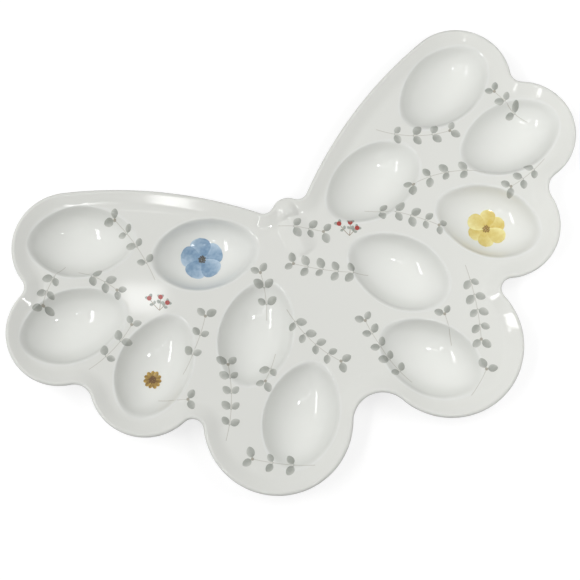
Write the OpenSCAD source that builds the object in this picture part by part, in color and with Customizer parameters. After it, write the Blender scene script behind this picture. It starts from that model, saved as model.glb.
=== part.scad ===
// Butterfly-shaped platter of glazed porcelain with six egg wells in each wing.
// X runs across the wings, Y towards the head, Z up. The origin is the middle of the
// platter, on the surface that it stands on. Lengths are in millimetres.

/* [Overall] */
// Span across the two outer lobes
wing_span = 362; // [340:1:400]
// Length from the tail lobes to the tip lobes
platter_len = 219; // [206:1:245]
// Thickness of the floor and the rim
wall_t = 3.4; // [3:0.1:3.8]

/* [Outline] */
// Radius of the head's front edge
head_r = 10; // [9:0.5:11.5]
// Radius of the lobe at each wing's tip
tip_lobe_r = 33; // [32:0.5:36]
// Radius of the outermost lobe of each wing
outer_lobe_r = 32; // [31:0.5:35]
// Radius of the lobe behind the outermost one
middle_lobe_r = 33; // [32:0.5:36]
// Radius of each tail lobe
tail_lobe_r = 43; // [40:0.5:46]
// Radius of the long leading edge
leading_edge_r = 265; // [220:5:400]
// Radius in the corner between the head and the leading edge
neck_r = 6; // [5:0.5:8]
// Radius in the notch between the tip lobe and the outermost lobe
tip_notch_r = 7; // [5:0.5:10]
// Radius in the notch between the outermost lobe and the middle lobe
outer_notch_r = 10.5; // [8:0.5:14]
// Radius in the notch between the forewing and the hindwing
waist_notch_r = 6.5; // [5:0.5:9]
// Radius in the notch between the two tail lobes
tail_notch_r = 17; // [13:0.5:21]

/* [Rim] */
// Height of the lip above the floor
rim_rise = 3.6; // [3.2:0.2:6]
// Radius of the sweep from the floor into the rim
rim_sweep_r = 2.8; // [2.2:0.2:3.2]
// Lean of the rim, in degrees above the floor
rim_lean = 58; // [50:1:62]

/* [Egg wells] */
// Length of a well's mouth
well_len = 62; // [56:0.5:63]
// Width of a well's mouth
well_w = 42; // [38:0.5:43]
// Depth of a well below the floor
well_depth = 13.5; // [11:0.5:15]
// Share of a well's length on the blunt side of its widest place
blunt_share = 0.47; // [0.44:0.01:0.5]
// Thickness of each bowl
bowl_t = 2.8; // [2.5:0.1:3]
// Width of the ledge outside each bowl, where it joins the floor
ledge_w = 0.2; // [0.15:0.05:0.4]
// Room between the ledge and the rim, where a well nests in a lobe
nest_gap = 0.8; // [0.6:0.1:1.5]
// Width of the softened edge round each mouth
mouth_bevel_w = 1.2; // [0.8:0.1:1.4]
// Depth that the shallow dish of that softened edge would have
bevel_dish_depth = 4.5; // [3:0.5:6]
// Depth ground flat under each bowl, where it stands
ground_flat = 1; // [0.6:0.1:1.4]

/* [Head and body] */
// Width of the knob on the head
knob_w = 17; // [14:0.5:18]
// Length of that knob, from its front to its back
knob_len = 10.4; // [9:0.2:11]
// Height of that knob above the floor
knob_rise = 4.6; // [4:0.2:5]
// Distance from the head's front edge to the knob
knob_set_in = 1.3; // [1:0.1:2]
// Width of the strip between the wings
body_w = 16; // [15.6:0.2:18]
// Length of the low hump behind the knob
hump_len = 23; // [18:1:30]
// Width of that hump
hump_w = 15; // [12:0.5:15.5]
// Height of that hump
hump_rise = 1.5; // [0.8:0.1:2.4]
// Distance between the knob and the hump
hump_gap = 0.4; // [0.2:0.1:1]

/* [Hidden] */
$fn = 96;
fine_fn = 360;
half_span = wing_span / 2;
half_len = platter_len / 2;
floor_z = bowl_t + well_depth - ground_flat;
floor_under_z = floor_z - wall_t;
overrun = wall_t;

// Places of the lobes and the head, as shares of the half span and the half length
tip_x_share = 0.7;
outer_y_share = 0.288;
middle_share = [0.633, -0.136];
tail_x_share = 0.3;
head_y_share = 0.385;
// Where the leading edge reaches the head, in head radii from the head's centre
lead_root_share = [1.83, 1.02];

// Geometry of tangent arcs
function unit(v) = v / norm(v);
function toward(c, r, q) = c + r * unit(q - c);
function heading(a) = [cos(a), sin(a)];
function angle_to(c, p) = atan2(p.y - c.y, p.x - c.x);
function turn(from, to) = to - from - 360 * floor((to - from) / 360);
// Point at distance dp from p and dq from q, on the left of the way from p to q
function apex(p, dp, q, dq) =
    let (
        gap = norm(q - p),
        u = (q - p) / gap,
        along = (dp * dp - dq * dq + gap * gap) / (2 * gap)
    )
    p + u * along + [-u.y, u.x] * sqrt(dp * dp - along * along);

head_c = [0, head_y_share * half_len];
knob_y = head_c.y + head_r - knob_set_in - knob_len / 2;
hump_y = knob_y - (knob_len + hump_len) / 2 - hump_gap;
tip_c = [tip_x_share * half_span, half_len - tip_lobe_r];
outer_c = [half_span - outer_lobe_r, outer_y_share * half_len];
middle_c = [middle_share.x * half_span, middle_share.y * half_len];
tail_c = [tail_x_share * half_span, tail_lobe_r - half_len];
lead_root = head_c + head_r * lead_root_share;
lead_c = apex(tip_c, leading_edge_r - tip_lobe_r, lead_root, leading_edge_r);
neck_c = apex(head_c, head_r + neck_r, lead_c, leading_edge_r + neck_r);
tip_notch_c = apex(tip_c, tip_lobe_r + tip_notch_r, outer_c, outer_lobe_r + tip_notch_r);
outer_notch_c =
    apex(outer_c, outer_lobe_r + outer_notch_r, middle_c, middle_lobe_r + outer_notch_r);
waist_notch_c =
    apex(middle_c, middle_lobe_r + waist_notch_r, tail_c, tail_lobe_r + waist_notch_r);
tail_notch_c =
    apex(tail_c, tail_lobe_r + tail_notch_r, [-tail_c.x, tail_c.y], tail_lobe_r + tail_notch_r);

// The right half of the outline, from the head to the tail: centre, radius, and whether
// the arc bulges outwards. Each arc runs from one of the joints to the next.
ARCS = [
    [head_c, head_r, true],
    [neck_c, neck_r, false],
    [lead_c, leading_edge_r, true],
    [tip_c, tip_lobe_r, true],
    [tip_notch_c, tip_notch_r, false],
    [outer_c, outer_lobe_r, true],
    [outer_notch_c, outer_notch_r, false],
    [middle_c, middle_lobe_r, true],
    [waist_notch_c, waist_notch_r, false],
    [tail_c, tail_lobe_r, true],
    [tail_notch_c, tail_notch_r, false],
];
JOINTS = [
    head_c + [0, head_r],
    toward(head_c, head_r, neck_c),
    toward(lead_c, leading_edge_r, neck_c),
    toward(lead_c, leading_edge_r, tip_c),
    toward(tip_c, tip_lobe_r, tip_notch_c),
    toward(outer_c, outer_lobe_r, tip_notch_c),
    toward(outer_c, outer_lobe_r, outer_notch_c),
    toward(middle_c, middle_lobe_r, outer_notch_c),
    toward(middle_c, middle_lobe_r, waist_notch_c),
    toward(tail_c, tail_lobe_r, waist_notch_c),
    toward(tail_c, tail_lobe_r, tail_notch_c),
    tail_notch_c + [0, tail_notch_r],
];

// The rim in section: distance in from the outline, and height above the floor
lip_r = wall_t / 2;
rim_out = [-sin(rim_lean), -cos(rim_lean)];
rim_up = [-cos(rim_lean), sin(rim_lean)];
rim_end = [lip_r * (1 + sin(rim_lean)), rim_rise - lip_r * (1 - cos(rim_lean))];
rim_straight = (rim_end.y - rim_sweep_r * (1 - cos(rim_lean))) / sin(rim_lean);
rim_start = rim_end - rim_straight * rim_up;
rim_w = rim_start.x + rim_sweep_r * sin(rim_lean);
rim_turns = [for (k = [0 : 3]) rim_lean * k / 3];
lip_turns = [0, 90 - rim_lean, 45, rim_lean];
function sweep_point(a, r) = [rim_w, rim_sweep_r] - r * [sin(a), cos(a)];
function lip_point(a, side) =
    rim_end + lip_r * (rim_out + cos(a) * side * rim_out + sin(a) * rim_up);
// Its upper and its under side, point for point, from the floor to the lip
rim_top_side = concat(
    [for (a = rim_turns) sweep_point(a, rim_sweep_r)],
    [for (a = lip_turns) lip_point(a, -1)]
);
rim_under_side = concat(
    [for (a = rim_turns) sweep_point(a, rim_sweep_r + wall_t)],
    [for (a = lip_turns) lip_point(a, 1)]
);
// Furthest that a flat along a curve in plan may lie from the true curve, and the number
// of flats that an arc needs for it
plan_flat = wall_t / 45;
function flats(swing, r) = ceil(abs(swing) / (2 * acos(1 - plan_flat / r)));

// Directions from an arc's centre to the stations along it, the first one left out
function stations(i) =
    let (
        c = ARCS[i][0],
        bulges = ARCS[i][2],
        from = angle_to(c, JOINTS[i]),
        to = angle_to(c, JOINTS[i + 1]),
        swing = bulges ? -turn(to, from) : turn(from, to),
        count = flats(swing, bulges ? ARCS[i][1] : ARCS[i][1] + rim_w)
    )
    [for (k = [1 : count]) from + swing * k / count];
// Point that far in from the outline, in the given direction from an arc's centre
function inset_point(i, a, inset) =
    ARCS[i][0] + heading(a) * max(ARCS[i][1] + (ARCS[i][2] ? -inset : inset), 0);

// The egg wells. Their long axes turn this far from the X axis, blunt end outwards.
blunt_len = well_len * blunt_share;
narrow_len = well_len - blunt_len;
// Radius of a hollow where it is widest, and of its bowl at the floor's underside
girth_r = arc_r(well_w / 2, well_depth);
bowl_half_w = sqrt(pow(girth_r + bowl_t, 2) - pow(girth_r - well_depth + wall_t, 2));
// Distance from a mouth to the outside of its ledge
collar_w = bowl_half_w - well_w / 2 + ledge_w;
// Radius of a well's end in plan, as a share of half its width
blunt_end_share = 0.78;
narrow_end_share = 0.68;
// A well of one wing is its name, its turn and the place of its widest point. The blunt
// end of a nested one lies in a lobe. The shares of the lobe's radius move the well to
// the left of its own heading, and in from the rim.
function nested(name, turn_a, lobe_c, lobe_r, aside_share, in_share) = [
    name,
    turn_a,
    lobe_c
        + heading(turn_a)
            * (lobe_r * (1 - in_share) - rim_w - nest_gap - collar_w - blunt_len)
        + heading(turn_a + 90) * lobe_r * aside_share,
];
WELLS = [
    nested("tip", 20, tip_c, tip_lobe_r, 0.095, 0.04),
    ["leading", 14, [0.31 * half_span, 0.372 * half_len]],
    nested("outer", 4, outer_c, outer_lobe_r, 0.035, 0),
    nested("middle", -42, middle_c, middle_lobe_r, -0.02, 0.09),
    ["inner", -51, [0.259 * half_span, -0.152 * half_len]],
    nested("tail", -50, tail_c, tail_lobe_r, -0.28, 0.225),
];
SIDES = ["left", "right"];
function well_name(side, i) = str(SIDES[side], "_", WELLS[i][0], "_well");

// Radius of the arc over a chord of the given half length and height
function arc_r(half_chord, height) =
    (half_chord * half_chord + height * height) / (2 * height);

// A lens turned about its long axis, which lies along X at the given height above the
// plane where the lens has its stated half width and end lengths.
module long_lens(half_w, end_a, end_b, height, grow = 0) {
    mid_r = arc_r(half_w, height);
    translate([0, 0, mid_r - height])
        rotate([0, 90, 0])
            for (end = [[end_a, 0], [end_b, 1]])
                mirror([0, 0, end[1]])
                    rotate_extrude()
                        intersection() {
                            translate([mid_r - arc_r(end[0], height), 0])
                                circle(arc_r(end[0], height) + grow, $fn = fine_fn);
                            square([mid_r + 2 * grow, end[0] + 2 * grow]);
                        }
}

// A quarter of the egg's plan by an end arc and a side arc that meet at a tangent, from
// the end of the long axis to the widest place
function egg_quarter(len, end_share, grow) =
    let (
        half_w = well_w / 2,
        end_r = end_share * half_w,
        reach = len - end_r,
        side_r = (reach * reach + half_w * half_w - end_r * end_r) / (2 * (half_w - end_r)),
        drop = side_r - half_w,
        meet = atan2(drop, reach),
        end_n = flats(meet, end_r + grow),
        side_n = flats(90 - meet, side_r + grow)
    )
    concat(
        [for (k = [0 : end_n - 1]) [reach, 0] + (end_r + grow) * heading(meet * k / end_n)],
        [
            for (k = [0 : side_n])
                [0, -drop] + (side_r + grow) * heading(meet + (90 - meet) * k / side_n)
        ]
    );

module egg_plan(grow = 0) {
    blunt = egg_quarter(blunt_len, blunt_end_share, grow);
    narrow = egg_quarter(narrow_len, narrow_end_share, grow);
    upper = concat(
        blunt,
        [for (k = [len(narrow) - 2 : -1 : 0]) [-narrow[k].x, narrow[k].y]]
    );
    polygon(concat(upper, [for (k = [len(upper) - 2 : -1 : 1]) [upper[k].x, -upper[k].y]]));
}

// Moves its children to a well's place in one wing
module at_well(side, i)
    mirror([1 - side, 0, 0])
        translate(WELLS[i][2])
            rotate([0, 0, WELLS[i][1]])
                children();

module egg_well(side, i)
    color("whitesmoke")
        at_well(side, i)
            difference() {
                union() {
                    translate([0, 0, floor_under_z])
                        linear_extrude(wall_t)
                            egg_plan(collar_w);
                    intersection() {
                        translate([0, 0, floor_z])
                            long_lens(well_w / 2, blunt_len, narrow_len, well_depth, bowl_t);
                        translate([-well_len, -well_w, 0])
                            cube([2 * well_len, 2 * well_w, floor_under_z]);
                    }
                }
                translate([0, 0, floor_z]) {
                    long_lens(well_w / 2, blunt_len, narrow_len, well_depth);
                    long_lens(
                        well_w / 2 + mouth_bevel_w,
                        blunt_len + mouth_bevel_w,
                        narrow_len + mouth_bevel_w,
                        bevel_dish_depth
                    );
                }
            }

// The right half of the platter in plan, drawn in by the given distance
module half_plan(inset)
    polygon(concat(
        [head_c, head_c + [0, max(head_r - inset, 0)]],
        [for (i = [0 : len(ARCS) - 1], a = stations(i)) inset_point(i, a, inset)]
    ));

// The wing's floor: all inside the rim and outside the body's strip, open at the wells
module wing_floor(side)
    color("white")
        difference() {
            translate([0, 0, floor_under_z])
                linear_extrude(wall_t)
                    mirror([1 - side, 0])
                        intersection() {
                            half_plan(rim_w);
                            translate([body_w / 2, -half_len])
                                square([half_span, platter_len]);
                        }
            for (i = [0 : len(WELLS) - 1])
                translate([0, 0, floor_under_z - overrun])
                    linear_extrude(wall_t + 2 * overrun)
                        at_well(side, i)
                            egg_plan(collar_w);
        }

// The rim's section beside the outline, with the outline at x = 0
module rim_section()
    polygon(concat(
        rim_top_side,
        [for (k = [len(rim_under_side) - 1 : -1 : 0]) rim_under_side[k]]
    ));

// The rim along an arc of the outline, from one of its ends to the other
module rim_along(c, r, bulges, from, to) {
    a = angle_to(c, bulges ? to : from);
    b = angle_to(c, bulges ? from : to);
    translate([c.x, c.y, floor_z])
        rotate([0, 0, a])
            rotate_extrude(angle = turn(a, b))
                intersection() {
                    translate([r, 0])
                        mirror([bulges ? 1 : 0, 0, bulges ? 0 : 1])
                            rim_section();
                    translate([0, -wall_t])
                        square([r + rim_w, rim_rise + wall_t]);
                }
}

// A mound on the floor with its middle at the given place, its long axis turned from X
module mound(y, turn_a, w, len, rise)
    intersection() {
        translate([0, y, floor_z])
            rotate([180, 0, turn_a])
                long_lens(w / 2, len / 2, len / 2, rise);
        translate([-len, y - len, floor_z])
            cube([2 * len, 2 * len, 2 * rise]);
    }

module knob() mound(knob_y, 0, knob_len, knob_w, knob_rise);

// The rim in the corner between the head and a wing
module shoulder_rim(side)
    color("ghostwhite")
        difference() {
            mirror([1 - side, 0, 0])
                rim_along(neck_c, neck_r, false, JOINTS[1], JOINTS[2]);
            knob();
        }

function rim_ring(i, a) =
    [
        for (side = [rim_top_side, rim_under_side], p = side)
            let (q = inset_point(i, a, p.x))
            [q.x, q.y, floor_z + p.y]
    ];

// The rim from the shoulder round the wing to the tail notch, swept along the outline
module wing_rim(side) {
    rings = concat(
        [rim_ring(2, angle_to(lead_c, JOINTS[2]))],
        [for (i = [2 : len(ARCS) - 1], a = stations(i)) rim_ring(i, a)]
    );
    n = len(rim_top_side);
    // Once round a ring: out along the upper side and back along the under side
    loop = concat([for (k = [0 : n - 1]) k], [for (k = [n - 1 : -1 : 0]) n + k]);
    last = (len(rings) - 1) * 2 * n;
    color("ghostwhite")
        mirror([1 - side, 0, 0])
            polyhedron(
                points = [for (ring = rings, p = ring) p],
                faces = concat(
                    [
                        for (j = [0 : len(rings) - 2], k = [0 : 2 * n - 1])
                            let (
                                a = 2 * n * j + loop[k],
                                b = 2 * n * j + loop[(k + 1) % (2 * n)]
                            )
                            each [[a, b, b + 2 * n], [a, b + 2 * n, a + 2 * n]]
                    ],
                    [
                        for (k = [0 : n - 2])
                            each [[k + 1, k, n + k], [k + 1, n + k, n + k + 1]]
                    ],
                    [
                        for (k = [0 : n - 2])
                            each [
                                [last + k, last + k + 1, last + n + k],
                                [last + n + k, last + k + 1, last + n + k + 1],
                            ]
                    ]
                )
            );
}

module head()
    color("snow") {
        knob();
        rim_along(head_c, head_r, true, [-JOINTS[1].x, JOINTS[1].y], JOINTS[1]);
    }

module body()
    color("snow") {
        translate([0, 0, floor_under_z])
            linear_extrude(wall_t)
                for (side = [0, 1])
                    mirror([side, 0])
                        intersection() {
                            half_plan(rim_w);
                            translate([0, -half_len])
                                square([body_w / 2, platter_len]);
                        }
        mound(hump_y, 90, hump_w, hump_len, hump_rise);
    }

head();
body();
wing_floor(0);  // left_wing_floor
wing_floor(1);  // right_wing_floor
shoulder_rim(0);  // left_shoulder_rim
shoulder_rim(1);  // right_shoulder_rim
wing_rim(0);  // left_wing_rim
wing_rim(1);  // right_wing_rim
for (side = [0, 1], i = [0 : len(WELLS) - 1])
    egg_well(side, i);
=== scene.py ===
"""Butterfly-shaped egg platter of glazed porcelain. Shapes are worked out in millimetres,
in the platter's own frame, and become metres when a piece is made."""

import math

import bpy
import numpy as np
from mathutils import Matrix, Vector
from mathutils.geometry import delaunay_2d_cdt


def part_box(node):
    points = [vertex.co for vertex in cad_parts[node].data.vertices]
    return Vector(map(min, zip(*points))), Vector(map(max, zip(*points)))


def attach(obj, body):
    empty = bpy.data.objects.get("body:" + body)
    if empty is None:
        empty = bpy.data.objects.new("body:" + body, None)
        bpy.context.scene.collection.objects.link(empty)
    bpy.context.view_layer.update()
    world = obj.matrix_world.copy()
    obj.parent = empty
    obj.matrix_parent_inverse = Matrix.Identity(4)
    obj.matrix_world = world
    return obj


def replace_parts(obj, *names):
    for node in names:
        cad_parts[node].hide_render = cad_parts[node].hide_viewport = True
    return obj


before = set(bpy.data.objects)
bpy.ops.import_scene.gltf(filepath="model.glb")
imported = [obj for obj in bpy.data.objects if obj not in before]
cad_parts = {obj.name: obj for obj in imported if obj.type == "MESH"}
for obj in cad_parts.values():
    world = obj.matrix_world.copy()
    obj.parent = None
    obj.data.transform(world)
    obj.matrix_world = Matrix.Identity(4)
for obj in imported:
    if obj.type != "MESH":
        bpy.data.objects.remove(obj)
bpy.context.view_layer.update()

MM = 0.001

# The platter's own sizes
HALF_SPAN, HALF_LEN = 181.0, 109.5
WALL = 3.4
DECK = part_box("left_wing_floor")[1].z / MM
RIM_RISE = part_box("left_wing_rim")[1].z / MM - DECK
# How far the rim reaches in from the outline, and the body out from its middle
RIM_W = 6.444
BODY_HALF_W = 8.0

# The rim leans less and sweeps wider than a sharp form would, as slip settles in a mould
LIP_R = WALL / 2
LEAN = math.radians(25)
SWEEP_R = 12.0

WELL_LEN, WELL_W, WELL_DEPTH = 62.0, 42.0, 13.5
BLUNT_LEN = 0.47 * WELL_LEN
NARROW_LEN = WELL_LEN - BLUNT_LEN
# The radius of each end in plan, as a share of half the width
BLUNT_END, NARROW_END = 0.78, 0.68
BOWL_T = 2.8
NEST_GAP = 0.8
# How far the shoulder of a well is rounded over, as a difference in depth
SHOULDER = 2.6
FOOT_FILLET = 2.5
# How much steeper the walls start than a plain lens, and how much flatter the bottom is
FULLNESS = 0.25

# The knob on the head and the low hump on the body: where each has its middle, and its size
KNOB_Y, KNOB_HALF_W, KNOB_RISE = 45.6, 6.6, 4.3
HUMP_Y, HUMP_HALF_LEN, HUMP_HALF_W, HUMP_SLOPE = 29.5, 14.0, 9.0, 0.31
# How softly the knob, the hump and the ground flats meet what is next to them
KNOB_BLEND, HUMP_BLEND, GROUND_BLEND = 2.4, 0.6, 0.12

# How far apart points lie along the outline, along a seam and round a well
OUTLINE_STEP, SEAM_STEP = 1.6, 1.5
RING_COUNT = 120


def unit(v):
    """The same direction, 1 long."""
    return v / np.hypot(*v)


def heading(a):
    """The direction at this angle from +X."""
    return np.array([math.cos(a), math.sin(a)])


def apex(p, dp, q, dq):
    """Point at distance dp from p and dq from q, on the left of the way from p to q."""
    gap = np.hypot(*(q - p))
    u = (q - p) / gap
    along = (dp * dp - dq * dq + gap * gap) / (2 * gap)
    return p + u * along + np.array([-u[1], u[0]]) * math.sqrt(dp * dp - along * along)


def arc_r(half_chord, height):
    """Radius of an arc, from half its chord and its height."""
    return (half_chord * half_chord + height * height) / (2 * height)


def butterfly_outline():
    """The right half of the outline as tangent arcs, from the head to the tail: centre,
    radius, whether it bulges, direction where it starts, and how far it turns."""
    head, neck, lead = 10.0, 6.0, 265.0
    tip, outer, middle, tail = 33.0, 32.0, 33.0, 43.0
    tip_notch, outer_notch, waist, tail_notch = 7.0, 10.5, 6.5, 17.0
    head_c = np.array([0, 0.385 * HALF_LEN])
    tip_c = np.array([0.7 * HALF_SPAN, HALF_LEN - tip])
    outer_c = np.array([HALF_SPAN - outer, 0.288 * HALF_LEN])
    middle_c = np.array([0.633 * HALF_SPAN, -0.136 * HALF_LEN])
    tail_c = np.array([0.3 * HALF_SPAN, tail - HALF_LEN])
    lead_root = head_c + head * np.array([1.83, 1.02])
    lead_c = apex(tip_c, lead - tip, lead_root, lead)
    chain = [
        (head_c, head, True),
        (apex(head_c, head + neck, lead_c, lead + neck), neck, False),
        (lead_c, lead, True),
        (tip_c, tip, True),
        (apex(tip_c, tip + tip_notch, outer_c, outer + tip_notch), tip_notch, False),
        (outer_c, outer, True),
        (
            apex(outer_c, outer + outer_notch, middle_c, middle + outer_notch),
            outer_notch,
            False,
        ),
        (middle_c, middle, True),
        (apex(middle_c, middle + waist, tail_c, tail + waist), waist, False),
        (tail_c, tail, True),
        (
            apex(tail_c, tail + tail_notch, tail_c * [-1, 1], tail + tail_notch),
            tail_notch,
            False,
        ),
    ]
    joints = [head_c + [0, head]]
    for (c, r, bulges), (d, s, also) in zip(chain, chain[1:]):
        if bulges and also:
            big, small, big_r = (c, d, r) if r > s else (d, c, s)
            joints.append(big + big_r * unit(small - big))
        else:
            lobe, lobe_r, notch = (c, r, d) if bulges else (d, s, c)
            joints.append(lobe + lobe_r * unit(notch - lobe))
    joints.append(chain[-1][0] + [0, chain[-1][1]])
    arcs = []
    for (c, r, bulges), p, q in zip(chain, joints, joints[1:]):
        a, b = (math.atan2(*(s - c)[::-1]) for s in (p, q))
        swing = -((a - b) % math.tau) if bulges else (b - a) % math.tau
        arcs.append((c, r, bulges, a, swing))
    return arcs


ARCS = butterfly_outline()
HEAD, SHOULDER_ARC, FIRST_WING_ARC = 0, 1, 2
TIP_LOBE, OUTER_LOBE, MIDDLE_LOBE, TAIL_LOBE = 3, 5, 7, 9


def stations(i, both_sides=False):
    """Directions from an arc's centre to the places along it, both ends among them, or
    along its mirror image and then itself."""
    _, r, bulges, start, swing = ARCS[i]
    if both_sides:
        start, swing = start - swing, 2 * swing
    n = max(3, math.ceil(abs(swing) * (r if bulges else r + RIM_W) / OUTLINE_STEP))
    return start + swing * np.arange(n + 1) / n


def inset_points(i, turns, inset):
    """Points beside an arc, in these directions from its centre, drawn in by the inset."""
    c, r, bulges, _, _ = ARCS[i]
    reach = np.maximum(r - inset, 0) if bulges else r + inset
    return c + np.reshape(reach, (-1, 1)) * np.c_[np.cos(turns), np.sin(turns)]


def outline_at(inset):
    """Points along the right half of the outline, drawn in by the inset."""
    rows = [inset_points(i, stations(i), inset) for i in range(len(ARCS))]
    return np.vstack([rows[0], *[row[1:] for row in rows[1:]]])


def inset_of(x, y):
    """How far a point lies inside the outline."""
    x = np.abs(x)
    best = np.full(x.shape, 1e9)
    for c, r, _, a, swing in ARCS:
        turn = (np.arctan2(y - c[1], x - c[0]) - a) * np.sign(swing) % math.tau
        on_arc = (turn <= abs(swing) + 1e-9) | (turn > math.tau - 1e-9)
        gap = np.abs(np.hypot(x - c[0], y - c[1]) - r)
        best = np.where(on_arc & (gap < best), gap, best)
    return best


# The rim in section, from the floor to the lip
LIP_IN = LIP_R * (1 + math.sin(LEAN))
LIP_DOWN = RIM_RISE - LIP_R * (1 - math.cos(LEAN))
STRAIGHT_RUN = (LIP_DOWN - SWEEP_R * (1 - math.cos(LEAN))) / math.tan(LEAN)
COVE_W = LIP_IN + STRAIGHT_RUN + SWEEP_R * math.sin(LEAN)


def rim_height(d):
    """Height of the rim's upper face above the deck, that far inside the outline."""
    d = np.maximum(d, LIP_R)
    lip = RIM_RISE - LIP_R + np.sqrt(np.maximum(LIP_R**2 - (d - LIP_R) ** 2, 0))
    wall = LIP_DOWN - (d - LIP_IN) * math.tan(LEAN)
    run = np.clip(COVE_W - d, 0, SWEEP_R * math.sin(LEAN))
    sweep = SWEEP_R - np.sqrt(SWEEP_R**2 - run**2)
    return np.where(
        d < LIP_IN, lip, np.where(d < LIP_IN + STRAIGHT_RUN, wall, sweep)
    )


def rim_under_height(d):
    """Height of its lower face above the deck."""
    r = SWEEP_R + WALL
    run = np.clip(COVE_W - d, 0, r * math.sin(LEAN))
    sweep = SWEEP_R - np.sqrt(r**2 - run**2)
    return sweep + np.maximum(COVE_W - r * math.sin(LEAN) - d, 0) * math.tan(LEAN)


# The egg wells
GIRTH_R = arc_r(WELL_W / 2, WELL_DEPTH)
BOWL_HALF_W = math.sqrt((GIRTH_R + BOWL_T) ** 2 - (GIRTH_R - WELL_DEPTH + WALL) ** 2)
# The ledge round a well reaches a little past its bowl
COLLAR_W = BOWL_HALF_W - WELL_W / 2 + 0.2


def nested(turn, lobe, aside, inward):
    """Direction and middle of a well that nests in a lobe: its direction in degrees, and
    its shifts to the side and inwards as shares of the lobe's radius."""
    turn = math.radians(turn)
    c, r = ARCS[lobe][:2]
    along = r * (1 - inward) - RIM_W - NEST_GAP - COLLAR_W - BLUNT_LEN
    return turn, c + heading(turn) * along + heading(turn + math.pi / 2) * r * aside


WELLS = {
    "tip": nested(20, TIP_LOBE, 0.095, 0.04),
    "leading": (math.radians(14), np.array([0.31 * HALF_SPAN, 0.372 * HALF_LEN])),
    "outer": nested(4, OUTER_LOBE, 0.035, 0),
    "middle": nested(-42, MIDDLE_LOBE, -0.02, 0.09),
    "inner": (math.radians(-51), np.array([0.259 * HALF_SPAN, -0.152 * HALF_LEN])),
    "tail": nested(-50, TAIL_LOBE, -0.28, 0.225),
}


def to_well(well, x, y):
    """A point's place along and across a well's long axis."""
    turn, c = WELLS[well]
    u, v = heading(turn), heading(turn + math.pi / 2)
    x, y = x - c[0], y - c[1]
    return x * u[0] + y * u[1], x * v[0] + y * v[1]


def from_well(well, p):
    """Points from their places along and across a well's long axis."""
    turn, c = WELLS[well]
    return c + p[:, :1] * heading(turn) + p[:, 1:] * heading(turn + math.pi / 2)


def hollow_depth(u, v, grow=0):
    """Depth below the deck of a body turned about the egg's long axis."""
    end_r = np.where(u > 0, arc_r(BLUNT_LEN, WELL_DEPTH), arc_r(NARROW_LEN, WELL_DEPTH))
    girth = np.sqrt(np.maximum((end_r + grow) ** 2 - u * u, 0)) - (end_r - GIRTH_R)
    girth = np.maximum(girth, 0)
    lens = np.sqrt(np.maximum(girth**2 - v * v, 0)) - (GIRTH_R - WELL_DEPTH)
    rest = np.clip(1 - lens / (WELL_DEPTH + grow), 0, 1)
    return lens * (1 + FULLNESS * rest)


def soft_max(a, b, k):
    """The greater of two heights, with the corner between them rounded over."""
    near = np.clip(k - np.abs(a - b), 0, None)
    return np.maximum(a, b) + near * near / (4 * k)


def egg_ring(grow):
    """A well's plan as a closed ring of points about its widest place."""
    half_w = WELL_W / 2
    turns = np.linspace(0, math.pi / 2, RING_COUNT // 4, endpoint=False)
    quarters = []
    for length, share in ((BLUNT_LEN, BLUNT_END), (NARROW_LEN, NARROW_END)):
        end_r = share * half_w
        reach = length - end_r
        side_r = (reach**2 + half_w**2 - end_r**2) / (2 * (half_w - end_r))
        meet = math.atan2(side_r - half_w, reach)
        on_end = np.c_[reach + (end_r + grow) * np.cos(turns), (end_r + grow) * np.sin(turns)]
        on_side = np.c_[
            (side_r + grow) * np.cos(turns),
            half_w - side_r + (side_r + grow) * np.sin(turns),
        ]
        quarters.append(np.where((turns < meet)[:, None], on_end, on_side))
    blunt, narrow = quarters[0], quarters[1] * [-1, 1]
    upper = np.vstack([blunt, [[0, half_w + grow]], narrow[::-1]])
    lower = (upper[1:-1] * [1, -1])[::-1]
    return np.vstack([upper, lower])


def knob(x, y):
    """The head's block: a pad with rounded sides, as high as the rim round it."""
    gone = np.sqrt((x / KNOB_HALF_W) ** 4 + ((y - KNOB_Y) / KNOB_HALF_W) ** 4)
    return KNOB_RISE * (1 - gone**1.5) - 0.6 * np.maximum(gone - 1, 0)


def hump(x, y):
    """The body's low ridge: two straight flanks that meet in a soft crest."""
    crest = HUMP_SLOPE * (HUMP_HALF_W - np.sqrt(x * x + 2.0))
    end = ((y - HUMP_Y) / HUMP_HALF_LEN) ** 2
    past = np.maximum(np.abs(x) - (HUMP_HALF_W + 0.5), 0)
    return crest - 2.4 * end**3 - 6 * past


def deck_shape(x, y, h):
    """Height above the deck where the rim alone would reach h."""
    right = np.abs(x)
    for well in WELLS:
        u, v = to_well(well, right, y)
        depth = hollow_depth(u, v)
        h = h - soft_max(depth, np.zeros_like(depth), SHOULDER)
    h = soft_max(h, knob(x, y), KNOB_BLEND)
    return soft_max(h, hump(x, y), HUMP_BLEND)


def top_z(x, y):
    """Height of the glazed upper face."""
    return DECK + deck_shape(x, y, rim_height(inset_of(x, y)))


def under_z(x, y):
    """Height of the lower face: the slab, the bowls, and the flats ground under them."""
    z = DECK + rim_under_height(inset_of(x, y))
    right = np.abs(x)
    for well in WELLS:
        u, v = to_well(well, right, y)
        z = -soft_max(-z, hollow_depth(u, v, BOWL_T) - DECK, FOOT_FILLET)
    return soft_max(z, np.zeros_like(z), GROUND_BLEND)


def facing(height, x, y, up):
    """Unit normals of a height field, up or down."""
    step = 0.02
    dx = (height(x + step, y) - height(x - step, y)) / (2 * step)
    dy = (height(x, y + step) - height(x, y - step)) / (2 * step)
    n = np.c_[-dx, -dy, np.ones_like(dx)]
    return n / np.linalg.norm(n, axis=1)[:, None] * (1 if up else -1)


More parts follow.
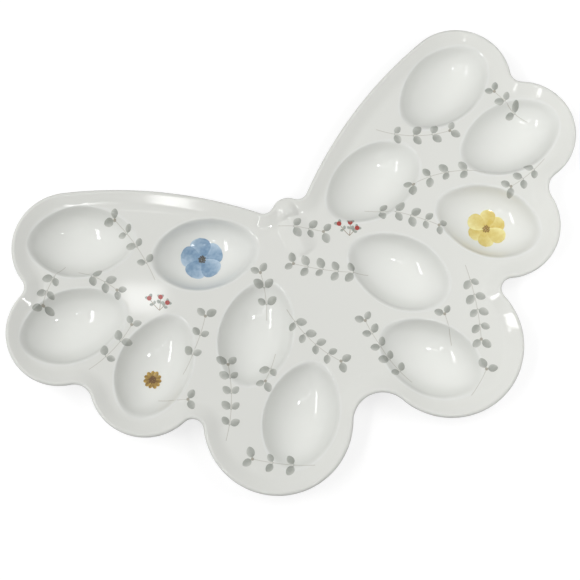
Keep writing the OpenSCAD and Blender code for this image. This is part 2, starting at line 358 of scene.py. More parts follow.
def glazed_piece(name, shape, finish):
    """A piece from its points in millimetres, faces and point normals. The seam faces,
    from flat_from on, are flat."""
    points, faces, normals, flat_from = shape
    mesh = bpy.data.meshes.new(name)
    mesh.from_pydata((points * MM).tolist(), [], faces)
    mesh.calc_loop_triangles()
    corners = np.empty(3 * len(mesh.loop_triangles), np.int32)
    mesh.loop_triangles.foreach_get("vertices", corners)
    a, b, c = points[corners.reshape(-1, 3)].transpose(1, 0, 2)
    if (a * np.cross(b, c)).sum() < 0:
        mesh.flip_normals()
    mesh.update()
    mesh.polygons.foreach_set("use_smooth", [True] * len(mesh.polygons))
    corners = np.empty(len(mesh.loops), np.int32)
    mesh.loops.foreach_get("vertex_index", corners)
    loop_normals = normals[corners]
    for poly in mesh.polygons[flat_from:]:
        loop_normals[list(poly.loop_indices)] = poly.normal
    mesh.normals_split_custom_set(loop_normals.tolist())
    mesh.materials.append(finish)
    obj = bpy.data.objects.new(name, mesh)
    bpy.context.scene.collection.objects.link(obj)
    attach(obj, "root")
    return obj


def well_shape(well):
    """The glazed hollow and the bowl under it, from the collar to the middle."""
    collar = from_well(well, egg_ring(COLLAR_W))
    centre = WELLS[well][1] - heading(WELLS[well][0]) * 2
    n = len(collar)
    # Each ray's share of the way out where the bowl reaches the ground
    grounded, past = np.zeros(n), np.ones(n)
    for _ in range(30):
        mid = (grounded + past) / 2
        x, y = (centre + (collar - centre) * mid[:, None]).T
        inside = hollow_depth(*to_well(well, x, y), BOWL_T) > DECK
        grounded, past = np.where(inside, mid, grounded), np.where(inside, past, mid)
    steps = [*np.linspace(1, 0.8, 17)[:-1], *np.linspace(0.8, 0.06, 22)]
    hollow = [np.full(n, s) for s in steps]
    bowl = [1 - (1 - grounded) * s for s in np.linspace(0, 1, 26)]
    bowl += [grounded * s for s in np.linspace(1, 0.15, 6)[1:]]
    around = [(k, (k + 1) % n) for k in range(n)]
    points, normals, faces = [], [], []
    for shares, height, up in ((hollow, top_z, True), (bowl, under_z, False)):
        start = sum(len(p) for p in points)
        rings = [centre + (collar - centre) * share[:, None] for share in shares]
        for x, y in (p.T for p in [*rings, centre[None]]):
            points.append(np.c_[x, y, height(x, y)])
            normals.append(facing(height, x, y, up))
        last = start + (len(rings) - 1) * n
        skin = [
            (a + k, a + m, a + n + m, a + n + k) for a in range(start, last, n) for k, m in around
        ]
        skin += [(last + k, last + m, last + n) for k, m in around]
        faces += skin if up else [f[::-1] for f in skin]
    flat_from = len(faces)
    faces += [(k, start + k, start + m, m) for k, m in around]
    return np.vstack(points), faces, np.vstack(normals), flat_from


def inside_loops(p, loops):
    """Which points lie inside an odd number of closed loops."""
    odd = np.zeros(len(p), bool)
    for loop in loops:
        for (ax, ay), (bx, by) in zip(loop, np.roll(loop, -1, axis=0)):
            if ay == by:
                continue
            crosses = (ay > p[:, 1]) != (by > p[:, 1])
            odd ^= crosses & (p[:, 0] < (bx - ax) * (p[:, 1] - ay) / (by - ay) + ax)
    return odd


def slab_shape(loops, inner_loops, pitch):
    """A slab between the deck and its underside, filled between its closed loops, with
    points at the pitch inside the inner ones."""
    lo, hi = loops[0].min(0), loops[0].max(0)
    rows = []
    for j, y in enumerate(np.arange(lo[1], hi[1], pitch * 0.866)):
        x = np.arange(lo[0] + (j % 2) * pitch / 2, hi[0], pitch)
        rows.append(np.c_[x, np.full(len(x), y)])
    grid = np.vstack(rows)
    places = np.vstack([*loops, grid[inside_loops(grid, inner_loops)]])
    edges, start = [], 0
    for loop in loops:
        n = len(loop)
        edges += [(start + k, start + (k + 1) % n) for k in range(n)]
        start += n
    made, _, tris, *_ = delaunay_2d_cdt([Vector(p) for p in places], edges, [], 0, 1e-7)
    flat = np.array([tuple(p) for p in made])
    tris = np.array([t[:3] for t in tris])
    tris = tris[inside_loops(flat[tris].mean(1), loops)]
    a, b, c = flat[tris].transpose(1, 0, 2)
    turned = np.cross(b - a, c - a) < 0
    tris[turned] = tris[turned][:, ::-1]
    n = len(flat)
    x, y = flat.T
    points = np.vstack([np.c_[flat, top_z(x, y)], np.c_[flat, under_z(x, y)]])
    normals = np.vstack([facing(top_z, x, y, True), facing(under_z, x, y, False)])
    tris = tris.tolist()
    faces = [tuple(t) for t in tris] + [(c + n, b + n, a + n) for a, b, c in tris]
    flat_from = len(faces)
    sides = dict.fromkeys(side for a, b, c in tris for side in ((a, b), (b, c), (c, a)))
    faces += [(b, a, a + n, b + n) for a, b in sides if (b, a) not in sides]
    return points, faces, normals, flat_from


def clipped(ring, keep_right):
    """The part of an open ring on one side of the body's edge, with the crossings."""
    kept = []
    side = (ring[:, 0] > BODY_HALF_W) == keep_right
    for k in range(len(ring)):
        if k and side[k] != side[k - 1]:
            a, b = ring[k - 1], ring[k]
            t = (BODY_HALF_W - a[0]) / (b[0] - a[0])
            kept.append([BODY_HALF_W, a[1] + t * (b[1] - a[1])])
        if side[k]:
            kept.append(ring[k])
    return np.array(kept)


def between(p, q):
    """Points along the straight way from p to q, without its ends."""
    n = max(1, math.ceil(np.hypot(*(q - p)) / SEAM_STEP))
    return p + (q - p) * (np.arange(1, n) / n)[:, None]


def wing_floor_loops(extra=0.0):
    """The right deck's outline and its six holes, each drawn back by the extra."""
    ring = clipped(outline_at(RIM_W + extra), True)
    if extra:
        ring[:, 0] = np.maximum(ring[:, 0], BODY_HALF_W + extra)
    outer = np.vstack([ring, between(ring[-1], ring[0])])
    holes = [from_well(well, egg_ring(COLLAR_W + extra)) for well in WELLS]
    return [outer, *holes]


def body_loops(extra=0.0):
    """The body's outline, drawn back by the extra."""
    ring = outline_at(RIM_W + extra)
    part = clipped(ring, False)
    # The ring leaves the body by the head, and comes back by the tail notch
    gap = np.flatnonzero(ring[:, 0] > BODY_HALF_W)[0] + 1
    half = np.vstack([part[:gap], between(part[gap - 1], part[gap]), part[gap:]])
    if extra:
        half[:, 0] = np.minimum(half[:, 0], BODY_HALF_W - extra)
    half = half[half[:, 0] > 1e-6]
    top, tail = [[0, ring[0, 1]]], [[0, ring[-1, 1]]]
    return [np.vstack([top, half, tail, (half * [-1, 1])[::-1]])]


def rim_shape(arcs, both_sides=False):
    """The rim swept along some of the arcs, closed at both ends and at the floor."""
    top_d = np.linspace(RIM_W, LIP_IN, 12)[:-1]
    lip_turn = np.linspace(LEAN, LEAN - math.pi, 17)
    lip_d = LIP_R * (1 + np.sin(lip_turn))
    lip_h = RIM_RISE - LIP_R + LIP_R * np.cos(lip_turn)
    over = lip_turn > 0
    under_d = np.linspace(LIP_R * (1 - math.sin(LEAN)), RIM_W, 14)[1:]
    places = []
    for i in arcs:
        turns = stations(i, both_sides)
        places += [(i, turn) for turn in (turns[1:] if places else turns)]
    rows, row_normals = [], []
    for i, turn in places:
        x, y = inset_points(i, turn, top_d).T
        upper = np.c_[x, y, DECK + deck_shape(x, y, rim_height(top_d))]
        upper_n = facing(top_z, x, y, True)
        x, y = inset_points(i, turn, lip_d).T
        crest = rim_height(lip_d)
        lip = np.c_[x, y, DECK + lip_h + deck_shape(x, y, crest) - crest]
        outwards = heading(turn) * (1 if ARCS[i][2] else -1)
        lip_n = np.c_[-np.sin(lip_turn)[:, None] * outwards, np.cos(lip_turn)]
        lip_n[over] = facing(top_z, x[over], y[over], True)
        x, y = inset_points(i, turn, under_d).T
        lower = np.c_[x, y, DECK + rim_under_height(under_d)]
        lower[-1, 2] = under_z(x[-1:], y[-1:])[0]
        lower_n = facing(under_z, x, y, False)
        rows.append(np.vstack([upper, lip, lower]))
        row_normals.append(np.vstack([upper_n, lip_n, lower_n]))
    n = len(rows[0])
    last = (len(rows) - 1) * n
    faces = [
        (a + k, a + k + 1, a + n + k + 1, a + n + k)
        for a in range(0, last, n)
        for k in range(n - 1)
    ]
    flat_from = len(faces)
    faces += [(a + n - 1, a, a + n, a + 2 * n - 1) for a in range(0, last, n)]
    faces += [tuple(range(n))[::-1], tuple(range(last, last + n))]
    return np.vstack(rows), faces, np.vstack(row_normals), flat_from


class Socket:
    """A node's value that ordinary sums can be written with."""

    def __init__(self, bench, link):
        self.bench, self.link = bench, link

    def maths(self, operation, *others):
        """A sum that begins with this value."""
        return self.bench.maths(operation, self, *others)

    def __add__(self, other):
        return self.maths("ADD", other)

    def __sub__(self, other):
        return self.maths("SUBTRACT", other)

    def __rsub__(self, other):
        return self.bench.maths("SUBTRACT", other, self)

    def __mul__(self, other):
        return self.maths("MULTIPLY", other)

    def __truediv__(self, other):
        return self.maths("DIVIDE", other)

    def __lt__(self, other):
        return self.maths("LESS_THAN", other)

    def __gt__(self, other):
        return self.maths("GREATER_THAN", other)

    __radd__, __rmul__ = __add__, __mul__


class Bench:
    """Where nodes are made and joined."""

    def __init__(self, tree):
        self.tree = tree

    def node(self, kind, settings=None, values=(), out=0):
        """Makes a node, sets it up and joins it. Values go by the socket's number or
        name, and the result is one of its outputs, or the node if out is None."""
        made = self.tree.nodes.new(kind)
        for key, value in (settings or {}).items():
            setattr(made, key, value)
        pairs = values.items() if isinstance(values, dict) else enumerate(values)
        for key, value in pairs:
            socket = made.inputs[key]
            if isinstance(value, Socket):
                self.tree.links.new(value.link, socket)
            else:
                socket.default_value = value
        return made if out is None else Socket(self, made.outputs[out])

    def maths(self, operation, *values):
        """One sum."""
        return self.node("ShaderNodeMath", {"operation": operation}, values)


class Shader(Bench):
    """A material's own nodes."""

    def __init__(self, name):
        self.material = bpy.data.materials.new(name)
        self.material.use_nodes = True
        super().__init__(self.material.node_tree)
        self.tree.nodes.clear()

    def noise(self, place, scale, detail):
        """A cloudy pattern, about 0.5 on the whole."""
        values = {"Vector": place, "Scale": scale, "Detail": detail}
        return self.node("ShaderNodeTexNoise", None, values)

    def mixed(self, share, a, b):
        """One colour at 0 and the other at 1."""
        return self.node("ShaderNodeMix", {"data_type": "RGBA"}, {0: share, 6: a, 7: b}, 2)

    def surface(self, shader):
        """Ends the material with this shader."""
        self.node("ShaderNodeOutputMaterial", None, {"Surface": shader}, None)
        return self.material

    def glossy(self, **values):
        """A clear glazed surface. The names are the shader's own, with _ for a space."""
        values = {key.replace("_", " "): value for key, value in values.items()}
        values["IOR"] = 1.5
        return self.surface(self.node("ShaderNodeBsdfPrincipled", None, values))


GROUND_CLAY = (0.62, 0.58, 0.52)


def porcelain_glaze(name, thin, pooled):
    """Clear glaze on a white body: very slight drifts of tone where it pooled, a surface
    that waves a little, and bare ground clay where the platter stands."""
    s = Shader(name)
    place = s.node("ShaderNodeTexCoord", None, (), "Object")
    drift = s.noise(place, 14.0, 2.0)
    grain = s.noise(place, 900.0, 1.0)
    wave = s.noise(place, 26.0, 1.0)
    bare = s.node("ShaderNodeSeparateXYZ", None, [place], 2) < 0.16 * MM
    tone = s.mixed(drift, (*thin, 1), (*pooled, 1))
    bump = s.node(
        "ShaderNodeBump",
        None,
        {"Strength": 0.06, "Distance": 0.001, "Height": wave * 0.6 + grain * 0.012},
    )
    return s.glossy(
        Base_Color=s.mixed(bare, tone, (*GROUND_CLAY, 1)),
        Roughness=0.06 + bare * 0.6,
        Normal=bump,
    )


WHITE_GLAZE = porcelain_glaze("white_glaze", (0.80, 0.806, 0.768), (0.785, 0.792, 0.75))
# The wells' glaze is the deck's white glaze painted a little lighter: painted light, standing in
# for the brighter light in the hollows
WELL_GLAZE_PAINTED_LIGHTER = porcelain_glaze("well_glaze", (0.812, 0.822, 0.79), (0.80, 0.81, 0.775))


def white_piece(name, shape):
    """A piece in the deck's glaze."""
    return glazed_piece(name, shape, WHITE_GLAZE)


def mirrored_piece(name, shape, finish):
    """The right piece and its mirror image on the left."""
    points, faces, normals, flat_from = shape
    for side, flip in (("right", [1, 1, 1]), ("left", [-1, 1, 1])):
        turned = (points * flip, faces, normals * flip, flat_from)
        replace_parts(glazed_piece(f"{side}_{name}_glazed", turned, finish), f"{side}_{name}")


# The wells take the glaze that is painted lighter for the light in them
for well in WELLS:
    mirrored_piece(f"{well}_well", well_shape(well), WELL_GLAZE_PAINTED_LIGHTER)
for name, shape in (
    ("wing_floor", slab_shape(wing_floor_loops(), wing_floor_loops(0.6), 1.3)),
    ("shoulder_rim", rim_shape([SHOULDER_ARC])),
    ("wing_rim", rim_shape(range(FIRST_WING_ARC, len(ARCS)))),
):
    mirrored_piece(name, shape, WHITE_GLAZE)
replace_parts(white_piece("body_glazed", slab_shape(body_loops(), body_loops(0.5), 1.0)), "body")
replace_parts(white_piece("head_glazed", rim_shape([HEAD], both_sides=True)), "head")


def print_finish(name, dark, light, stem, berry):
    """Fired-on colour under the gloss: washed out to one side and towards the edges, as
    a brush leaves it. Stems and berries take their own colours."""
    s = Shader(name)
    blade, side, tint, kind = (
        s.node("ShaderNodeAttribute", {"attribute_name": k}, (), "Fac")
        for k in ("blade", "side", "tint", "kind")
    )
    place = s.node("ShaderNodeTexCoord", None, (), "Object")
    wash = s.noise(place, 420.0, 3.0)
    pale = wash * 0.9 + side * 0.36 + side * side * 0.3 + blade * 0.3 + tint * 0.3 - 0.47
    leaf = s.mixed(s.node("ShaderNodeClamp", None, [pale]), (*dark, 1), (*light, 1))
    with_stem = s.mixed(kind > 0.5, leaf, (*stem, 1))
    colour = s.mixed(kind > 1.5, with_stem, (*berry, 1))
    return s.glossy(Base_Color=colour, Roughness=0.08 + wash * 0.03)


class Pattern(Bench):
    """A Geometry Nodes tree with named inputs, run once on a piece of geometry."""

    def __init__(self, name, sizes):
        super().__init__(bpy.data.node_groups.new(name, "GeometryNodeTree"))
        kinds = {float: "NodeSocketFloat", int: "NodeSocketInt"}
        add = self.tree.interface.new_socket
        add("Geometry", in_out="INPUT", socket_type="NodeSocketGeometry")
        for key, value in sizes.items():
            add(key, in_out="INPUT", socket_type=kinds[type(value)])
        add("Finish", in_out="INPUT", socket_type="NodeSocketMaterial")
        add("Geometry", in_out="OUTPUT", socket_type="NodeSocketGeometry")
        self.sizes = sizes
        self.entry = self.tree.nodes.new("NodeGroupInput")

    def given(self, key):
        """One of the named inputs."""
        return Socket(self, self.entry.outputs[key])

    def attribute(self, geometry, name, value, domain="POINT"):
        """Geometry that keeps a value under a name."""
        return self.node(
            "GeometryNodeStoreNamedAttribute",
            {"data_type": "FLOAT", "domain": domain},
            {"Geometry": geometry, "Name": name, "Value": value},
        )

    def vector(self, x, y, z):
        return self.node("ShaderNodeCombineXYZ", None, [x, y, z])

    def random(self, lo, hi, seed):
        """A number between the two, drawn anew for each point."""
        values = {2: lo, 3: hi, 8: seed}
        return self.node("FunctionNodeRandomValue", {"data_type": "FLOAT"}, values, 1)

    def axes(self, vector):
        """A vector's first two parts."""
        return [self.node("ShaderNodeSeparateXYZ", None, [vector], k) for k in (0, 1)]

    def placed(self, points, instance, **values):
        """Copies of some geometry on points."""
        values = {"Points": points, "Instance": instance, **values}
        return self.node("GeometryNodeInstanceOnPoints", None, values)

    def dot(self, radius, corners):
        """A flat round spot."""
        values = {"Vertices": corners, "Radius": radius}
        return self.node("GeometryNodeMeshCircle", {"fill_type": "TRIANGLE_FAN"}, values)

    def gathered(self, count):
        """That many points, all at one place."""
        values = {"Count": count, "Offset": self.vector(0.0, 0.0, 0.0)}
        return self.node("GeometryNodeMeshLine", None, values)

    def joined(self, *parts):
        """Several parts as one geometry."""
        join = self.node("GeometryNodeJoinGeometry", None, (), None)
        for part in parts:
            self.tree.links.new(part.link, join.inputs[0])
        return Socket(self, join.outputs[0])

    def finished(self, geometry):
        """Ends the tree with real geometry in the given finish."""
        real = self.node("GeometryNodeRealizeInstances", None, [geometry])
        values = {"Geometry": real, "Material": self.given("Finish")}
        done = self.node("GeometryNodeSetMaterial", None, values)
        self.node("NodeGroupOutput", None, [done], None)

    def run(self, data, finish):
        """The flat mesh that the tree makes from curves or points, in millimetres."""
        obj = bpy.data.objects.new(self.tree.name, data)
        bpy.context.scene.collection.objects.link(obj)
        modifier = obj.modifiers.new(self.tree.name, "NODES")
        modifier.node_group = self.tree
        for item in self.tree.interface.items_tree:
            if item.in_out == "INPUT" and item.name in self.sizes:
                modifier[item.identifier] = self.sizes[item.name]
            elif item.in_out == "INPUT" and item.name == "Finish":
                modifier[item.identifier] = finish
        ready = obj.evaluated_get(bpy.context.evaluated_depsgraph_get())
        flat = bpy.data.meshes.new_from_object(ready)
        obj.modifiers.remove(modifier)
        bpy.data.objects.remove(obj)
        return flat


def blade_shape(p, length, width, stalk, columns, rows, roundness):
    """One flat leaf or petal along +X, with its own place along and across it kept."""
    values = {"Size X": 1.0, "Size Y": 2.0, "Vertices X": columns, "Vertices Y": rows}
    grid = p.node("GeometryNodeMeshGrid", None, values)
    x, y = p.axes(p.node("GeometryNodeInputPosition"))
    x = x + 0.5
    t = p.node("ShaderNodeClamp", None, [(x - stalk) * (1 / (1 - stalk))])
    swell = (t * (1 - t) * 4).maths("POWER", 0.6)
    half = swell * (1 - roundness + t * 2 * roundness) * width * 0.5 + 0.12
    kept = p.attribute(grid, "blade", x)
    kept = p.attribute(kept, "side", y)
    values = {"Geometry": kept, "Position": p.vector(x * length, y * half, 0.0)}
    return p.node("GeometryNodeSetPosition", None, values)


def spray_pattern(leaf_length=7.0, leaf_width=4.3, spacing=9.0, berry=0.9):
    """Stems with pairs of rounded leaflets and a berry at the tip."""
    p = Pattern(
        "leaf_spray",
        {
            "Leaf Length": leaf_length,
            "Leaf Width": leaf_width,
            "Spacing": spacing,
            "Spread": 0.92,
            "Stem Width": 0.4,
            "Berry": berry,
            "Seed": 4,
        },
    )
    seed = p.given("Seed")
    factor = p.node("GeometryNodeSplineParameter", None, (), "Factor")
    stems = p.attribute(p.given("Geometry"), "along", factor)
    values = {"Curve": stems, "Length": p.given("Spacing")}
    places = p.node("GeometryNodeCurveToPoints", {"mode": "LENGTH"}, values, None)
    points, tangent = (Socket(p, places.outputs[k]) for k in ("Points", "Tangent"))
    tx, ty = p.axes(tangent)
    turn = ty.maths("ARCTAN2", tx)
    along = p.node("GeometryNodeInputNamedAttribute", {"data_type": "FLOAT"}, {"Name": "along"})
    leaf = blade_shape(p, p.given("Leaf Length"), p.given("Leaf Width"), 0.15, 17, 11, -0.12)
    parts = []
    for hand in (1, -1):
        wander = p.random(-0.18, 0.18, seed + hand)
        size = p.random(0.8, 1.08, seed + 5 * hand)
        leaves = p.placed(
            points,
            leaf,
            Selection=along > 0.1,
            Rotation=p.vector(0.0, 0.0, turn + p.given("Spread") * hand + wander),
            Scale=p.vector(size, size, 1.0),
        )
        tint = p.random(0.0, 1.0, seed + 9 * hand)
        parts.append(p.attribute(leaves, "tint", tint, "INSTANCE"))
    berries = p.placed(points, p.dot(p.given("Berry"), 14), Selection=along > 0.99)
    parts.append(p.attribute(berries, "kind", 2.0, "INSTANCE"))
    values = {"Curve": stems, "Length": 0.8}
    fine = p.node("GeometryNodeResampleCurve", {"mode": "LENGTH"}, values)
    level = p.node("GeometryNodeSetCurveNormal", {"mode": "Z_UP"}, {"Curve": fine})
    half = p.given("Stem Width") * 0.5
    values = {"Start": p.vector(half * -1, 0.0, 0.0), "End": p.vector(half, 0.0, 0.0)}
    across = p.node("GeometryNodeCurvePrimitiveLine", None, values)
    values = {"Curve": level, "Profile Curve": across}
    ribbon = p.node("GeometryNodeCurveToMesh", None, values)
    parts.append(p.attribute(ribbon, "kind", 1.0))
    p.finished(p.joined(*parts))
    return p


# The turn from each dot of a blossom's cushion to the next, which spreads them evenly
EVEN_TURN = 2.39996


def blossom_pattern(petals, length, width, seed):
    """Open blossoms on given points: a ring of overlapping petals round a cushion of dots."""
    p = Pattern(
        "blossom",
        {"Petals": petals, "Petal Length": length, "Petal Width": width, "Dot": 0.42, "Seed": seed},
    )
    draw = p.given("Seed")
    number = p.node("GeometryNodeInputIndex")
    petal = blade_shape(p, p.given("Petal Length"), p.given("Petal Width"), 0.06, 19, 13, 0.32)
    share = number / p.given("Petals")
    size = p.random(0.93, 1.05, draw)
    whorl = p.placed(
        p.gathered(p.given("Petals")),
        petal,
        Rotation=p.vector(0.0, 0.0, share * math.tau + p.random(-0.06, 0.06, draw)),
        Scale=p.vector(size, size, 1.0),
    )
    whorl = p.attribute(whorl, "layer", share, "INSTANCE")
    whorl = p.attribute(whorl, "tint", p.random(0.0, 1.0, draw), "INSTANCE")
    out = (number + 0.5).maths("SQRT") * p.given("Dot") * 1.05
    turn = number * EVEN_TURN
    place = p.vector(out * turn.maths("COSINE"), out * turn.maths("SINE"), 0.0)
    values = {"Geometry": p.gathered(26), "Position": place}
    cushion = p.node("GeometryNodeSetPosition", None, values)
    dots = p.placed(cushion, p.dot(p.given("Dot"), 9))
    dots = p.attribute(dots, "kind", 2.0, "INSTANCE")
    dots = p.attribute(dots, "layer", 1.2, "INSTANCE")
    p.finished(p.placed(p.given("Geometry"), p.joined(whorl, dots)))
    return p


# How far a print stands off the glaze, in all and more for dots, for leaves and petals,
# with their tint and with their place in a whorl; and how far it reaches into the glaze
PRINT_LIFT, DOT_LIFT, BLADE_LIFT, TINT_LIFT, WHORL_LIFT = 0.05, 0.16, 0.07, 0.05, 0.1
PRINT_SINK = 0.08


def fired_on(name, flat, finish):
    """Lays a flat print on the glaze as a thin closed skin that follows every hollow."""
    count = len(flat.vertices)
    place = np.empty(3 * count, np.float32)
    flat.vertices.foreach_get("co", place)
    xy = place.reshape(-1, 3)[:, :2].astype(float)
    kept = {}
    for key in ("blade", "side", "tint", "kind", "layer"):
        kept[key] = np.zeros(count, np.float32)
        if key in flat.attributes:
            flat.attributes[key].data.foreach_get("value", kept[key])
    x, y = xy.T
    surface = top_z(x, y)
    lift = PRINT_LIFT + DOT_LIFT * (kept["kind"] > 1.5) + WHORL_LIFT * kept["layer"]
    lift += (BLADE_LIFT + TINT_LIFT * kept["tint"]) * (kept["kind"] < 0.5)
    faces, sides = [], set()
    for poly in flat.polygons:
        f = list(poly.vertices)
        a, b, c = xy[f[0]], xy[f[1]], xy[f[2]]
        if (b[0] - a[0]) * (c[1] - a[1]) < (b[1] - a[1]) * (c[0] - a[0]):
            f = f[::-1]
        faces.append(tuple(f))
        sides.update(zip(f, f[1:] + f[:1]))
    flat_from = 2 * len(faces)
    walls = sorted((b, a, a + count, b + count) for a, b in sides if (b, a) not in sides)
    faces += [tuple(k + count for k in f[::-1]) for f in faces] + walls
    points = np.vstack([np.c_[xy, surface + lift], np.c_[xy, surface - PRINT_SINK]])
    up = facing(top_z, x, y, True)
    obj = glazed_piece(
        name, (points, faces, np.vstack([up, -up]), flat_from), finish
    )
    for key in ("blade", "side", "tint", "kind"):
        layer = obj.data.attributes.new(key, "FLOAT", "POINT")
        layer.data.foreach_set("value", np.tile(kept[key], 2))
    bpy.data.meshes.remove(flat)


# How far apart points lie along a stem, and how many of those steps lie between leaves
STEM_STEP, LEAF_EVERY = 1.5, 6


def stem_curves(stems):
    """Stems as plain curves: start, heading, bend in degrees for each 10 mm, and length."""
    curves = bpy.data.curves.new("stems", "CURVE")
    curves.dimensions = "3D"
    for x, y, toward, bend, length in stems:
        steps = math.ceil(length / STEM_STEP)
        spline = curves.splines.new("POLY")
        spline.points.add(steps)
        a = math.radians(toward)
        for k in range(steps + 1):
            spline.points[k].co = (x, y, 0, 1)
            x, y = x + math.cos(a) * length / steps, y + math.sin(a) * length / steps
            a += math.radians(bend) * length / steps / 10
    return curves


def point_at(place):
    """A mesh of one point, where a blossom goes."""
    dot = bpy.data.meshes.new("blossom_place")
    dot.from_pydata([(*place[:2], 0)], [], [])
    return dot


# What stands alone on the deck or in a well: its middle, and how much room it takes
BLUE_AT, YELLOW_AT, SEEDS_AT = (-57, 41, 20), (107, -11, 20), (-112, -14, 14)
RED_AT = [(28, 20, 9), (-92, 24, 9)]

# Where a leaf's middle lies from its place on the stem, how much room it and the stem need,
# and the most of a stem's leaves that may hang into a well
LEAF_AHEAD, LEAF_ASIDE = 2.6, 4.6
LEAF_ROOM, STEM_ROOM = 8.6, 6.0
MOST_HANGING = 0.34


def grown_stems(seed, kept_clear):
    """Stems that find room for their leaves on the deck, the longer ones first: start,
    heading, bend in degrees for each 10 mm, and length. Some leaves hang into a well."""
    rng = np.random.default_rng(seed)
    ring = outline_at(RIM_W + 1)
    half = np.vstack([[[0, ring[0, 1]]], ring, [[0, ring[-1, 1]]]])
    taken = [np.array(kept_clear, float)]
    stems, tries = [], 700
    leafy = slice(LEAF_EVERY, None, LEAF_EVERY)
    for length in (45, 36, 27, 18):
        start = rng.uniform((-HALF_SPAN, -HALF_LEN), (HALF_SPAN, HALF_LEN), (tries, 2))
        toward = rng.uniform(0, 360, tries)
        bend = rng.uniform(3, 9, tries) * rng.choice((-1, 1), tries)
        along = np.arange(0, length + 0.1, STEM_STEP)
        turn = np.radians(toward[:, None] + bend[:, None] * along / 10)
        ahead = np.stack([np.cos(turn), np.sin(turn)], 2)
        stem = np.cumsum(ahead, axis=1) * STEM_STEP + start[:, None]
        tips = stem[:, leafy] + LEAF_AHEAD * ahead[:, leafy]
        aside = LEAF_ASIDE * ahead[:, leafy, ::-1] * [-1, 1]
        leaves = np.concatenate([tips + aside, tips - aside], 1)
        bits = stem[:, :: LEAF_EVERY // 2]
        spots = np.concatenate([leaves, bits], 1)
        folded = np.c_[np.abs(spots[..., 0]).ravel(), spots[..., 1].ravel()]
        fits = inside_loops(folded, [half]).reshape(spots.shape[:2]).all(1)
        x, y = np.abs(leaves[..., 0]), leaves[..., 1]
        depth = np.max([hollow_depth(*to_well(well, x, y)) for well in WELLS], axis=0)
        fits &= (depth > 1).mean(1) <= MOST_HANGING
        room = np.repeat([LEAF_ROOM, STEM_ROOM], [leaves.shape[1], bits.shape[1]])
        for k in np.flatnonzero(fits):
            others = np.vstack(taken)
            gaps = np.linalg.norm(spots[k][:, None] - others[:, :2], axis=2)
            if (gaps >= others[:, 2]).all():
                stems.append((*start[k], toward[k], bend[k], length))
                taken.append(np.c_[spots[k], room])
    return stems


LEAF_PRINT = print_finish(
    "leaf_print", (0.36, 0.375, 0.34), (0.60, 0.61, 0.57), (0.62, 0.61, 0.56), (0.42, 0.40, 0.34)
)
sprays = stem_curves(grown_stems(15, [BLUE_AT, YELLOW_AT, SEEDS_AT, *RED_AT]))
fired_on("leaf_sprays", spray_pattern().run(sprays, LEAF_PRINT), LEAF_PRINT)

BLUE_PRINT = print_finish(
    "blue_print", (0.13, 0.25, 0.40), (0.47, 0.60, 0.72), (0.4, 0.5, 0.5), (0.10, 0.09, 0.07)
)
blue = blossom_pattern(5, 12.5, 11.5, 3)
fired_on("blue_blossom", blue.run(point_at(BLUE_AT), BLUE_PRINT), BLUE_PRINT)

YELLOW_PRINT = print_finish(
    "yellow_print", (0.66, 0.50, 0.12), (0.84, 0.77, 0.36), (0.5, 0.5, 0.3), (0.32, 0.20, 0.06)
)
yellow = blossom_pattern(6, 12.0, 9.0, 8)
fired_on("yellow_blossom", yellow.run(point_at(YELLOW_AT), YELLOW_PRINT), YELLOW_PRINT)

SEED_PRINT = print_finish(
    "seed_print", (0.20, 0.11, 0.03), (0.62, 0.42, 0.10), (0.3, 0.25, 0.1), (0.16, 0.08, 0.03)
)
seeds = blossom_pattern(11, 5.4, 2.2, 5)
fired_on("seed_heads", seeds.run(point_at(SEEDS_AT), SEED_PRINT), SEED_PRINT)

BERRY_PRINT = print_finish(
    "berry_print", (0.30, 0.33, 0.29), (0.52, 0.54, 0.50), (0.42, 0.36, 0.28), (0.40, 0.05, 0.04)
)
twigs = [
    (x, y - 4, toward, bend, length)
    for x, y, _ in RED_AT
    for toward, bend, length in ((112, -14, 9.5), (58, 14, 8), (24, -10, 6.5))
]
twig = spray_pattern(leaf_length=2.8, leaf_width=1.7, spacing=3.2, berry=1.4)
fired_on("red_berries", twig.run(stem_curves(twigs), BERRY_PRINT), BERRY_PRINT)


def seen_directly(bench):
    """1 for rays from the camera and for what gloss and glass show, otherwise 0."""
    path = bench.node("ShaderNodeLightPath", None, (), None)
    camera, gloss, glass = (
        Socket(bench, path.outputs[f"Is {kind} Ray"])
        for kind in ("Camera", "Glossy", "Transmission")
    )
    return camera.maths("MAXIMUM", gloss.maths("MAXIMUM", glass))


def table_top(reach):
    """A pale top that keeps the shadow. It lies a hair under the ground flats."""
    s = Shader("pale_table")
    paint = s.node("ShaderNodeBsdfDiffuse", None, {"Color": (0.42, 0.42, 0.42, 1)})
    values = {"Color": (1, 1, 1, 1), "Strength": seen_directly(s) * 0.72}
    glow = s.node("ShaderNodeEmission", None, values)
    both = s.node("ShaderNodeAddShader", None, [paint, glow])
    low = -0.05 * MM
    corners = [(x * reach, y * reach, low) for x, y in ((-1, -1), (1, -1), (1, 1), (-1, 1))]
    mesh = bpy.data.meshes.new("table_top")
    mesh.from_pydata(corners, [], [(0, 1, 2, 3)])
    mesh.materials.append(s.surface(both))
    obj = bpy.data.objects.new("table_top", mesh)
    bpy.context.scene.collection.objects.link(obj)


def studio_sky(strength):
    """White where it is seen, and a soft even light otherwise."""
    world = bpy.data.worlds.new("studio")
    bpy.context.scene.world = world
    world.use_nodes = True
    sky = Bench(world.node_tree)
    sky.tree.nodes.clear()
    values = {"Color": (1, 1, 1, 1), "Strength": seen_directly(sky) * (1 - strength) + strength}
    glow = sky.node("ShaderNodeBackground", None, values)
    sky.node("ShaderNodeOutputWorld", None, {"Surface": glow}, None)


table_top(6)
studio_sky(0.14)

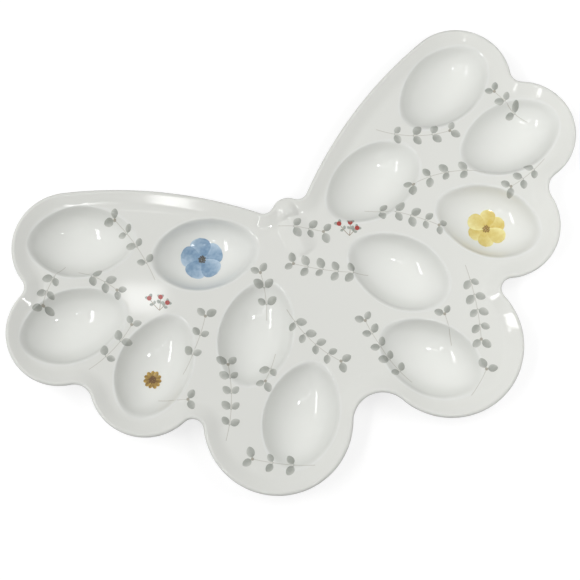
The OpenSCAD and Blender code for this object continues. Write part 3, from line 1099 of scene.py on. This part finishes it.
# The camera's angle above the table and its turn to the left, in radians. Then its own
# directions: across the picture, up it, and from the platter to the lens
ELEVATION, TURN = 1.376, 0.417
ACROSS = Vector((math.cos(TURN), -math.sin(TURN), 0))
BACK = Vector(
    (
        -math.sin(TURN) * math.cos(ELEVATION),
        -math.cos(TURN) * math.cos(ELEVATION),
        math.sin(ELEVATION),
    )
)
UPWARDS = BACK.cross(ACROSS)
# The place that the lens looks at, level with the rim, and how far off the lens is
MIDDLE = Vector((-0.0177, -0.0004, (DECK + RIM_RISE) * MM))
LENS_AWAY = 0.7
# The photograph's width, and its focal length in the same pixels
PHOTO_W, FOCAL = 580, 1201.7


def softbox(name, across, up, back, size, radiance, reflected=True):
    """A lamp that faces the platter, placed in metres as the photographer sees it. Its
    sides lie across and up the picture."""
    lamp = bpy.data.lights.new(name, "AREA")
    lamp.shape = "RECTANGLE"
    lamp.size, lamp.size_y = size
    lamp.energy = math.pi * size[0] * size[1] * radiance
    obj = bpy.data.objects.new(name, lamp)
    away = ACROSS * across + UPWARDS * up + BACK * back
    behind = away.normalized()
    side = UPWARDS.cross(behind).normalized()
    turned = Matrix((side, behind.cross(side), behind)).transposed()
    obj.matrix_world = Matrix.LocRotScale(MIDDLE + away, turned, None)
    obj.visible_glossy = reflected
    obj.visible_camera = False
    bpy.context.scene.collection.objects.link(obj)


softbox("left_light", -0.75, 0.28, 0.75, (0.8, 0.8), 3.1, reflected=False)
softbox("ceiling_light", 0.3, 0.1, 0.32, (0.3, 0.3), 2.8, reflected=False)
for pane in range(3):
    softbox(f"window_pane_{pane}", -0.8 - 0.05 * pane, -0.15, 1.35, (0.03, 0.8), 14)
softbox("near_lamp", 0.115, -0.129, 0.61, (0.05, 0.05), 20)
softbox("far_lamp_left", -0.09, -0.3, 1.57, (0.15, 0.05), 9)
softbox("far_lamp_right", 0.07, -0.3, 1.57, (0.05, 0.05), 9)
softbox("low_window_left", -0.41, -0.6, 1.5, (0.045, 0.14), 10)
softbox("low_window_right", -0.3, -0.45, 1.5, (0.04, 0.16), 9)
softbox("high_window", -0.29, 0.62, 1.55, (0.08, 0.055), 6)


def photo_camera():
    """The camera where the photographer held it."""
    lens = bpy.data.cameras.new("photo_camera")
    lens.sensor_width = 36.0
    lens.lens = lens.sensor_width * FOCAL / PHOTO_W
    obj = bpy.data.objects.new("photo_camera", lens)
    obj.location = MIDDLE + BACK * LENS_AWAY
    obj.rotation_euler = BACK.to_track_quat("Z", "Y").to_euler()
    bpy.context.scene.collection.objects.link(obj)
    bpy.context.scene.camera = obj


photo_camera()

bpy.context.scene.view_settings.view_transform = "Standard"
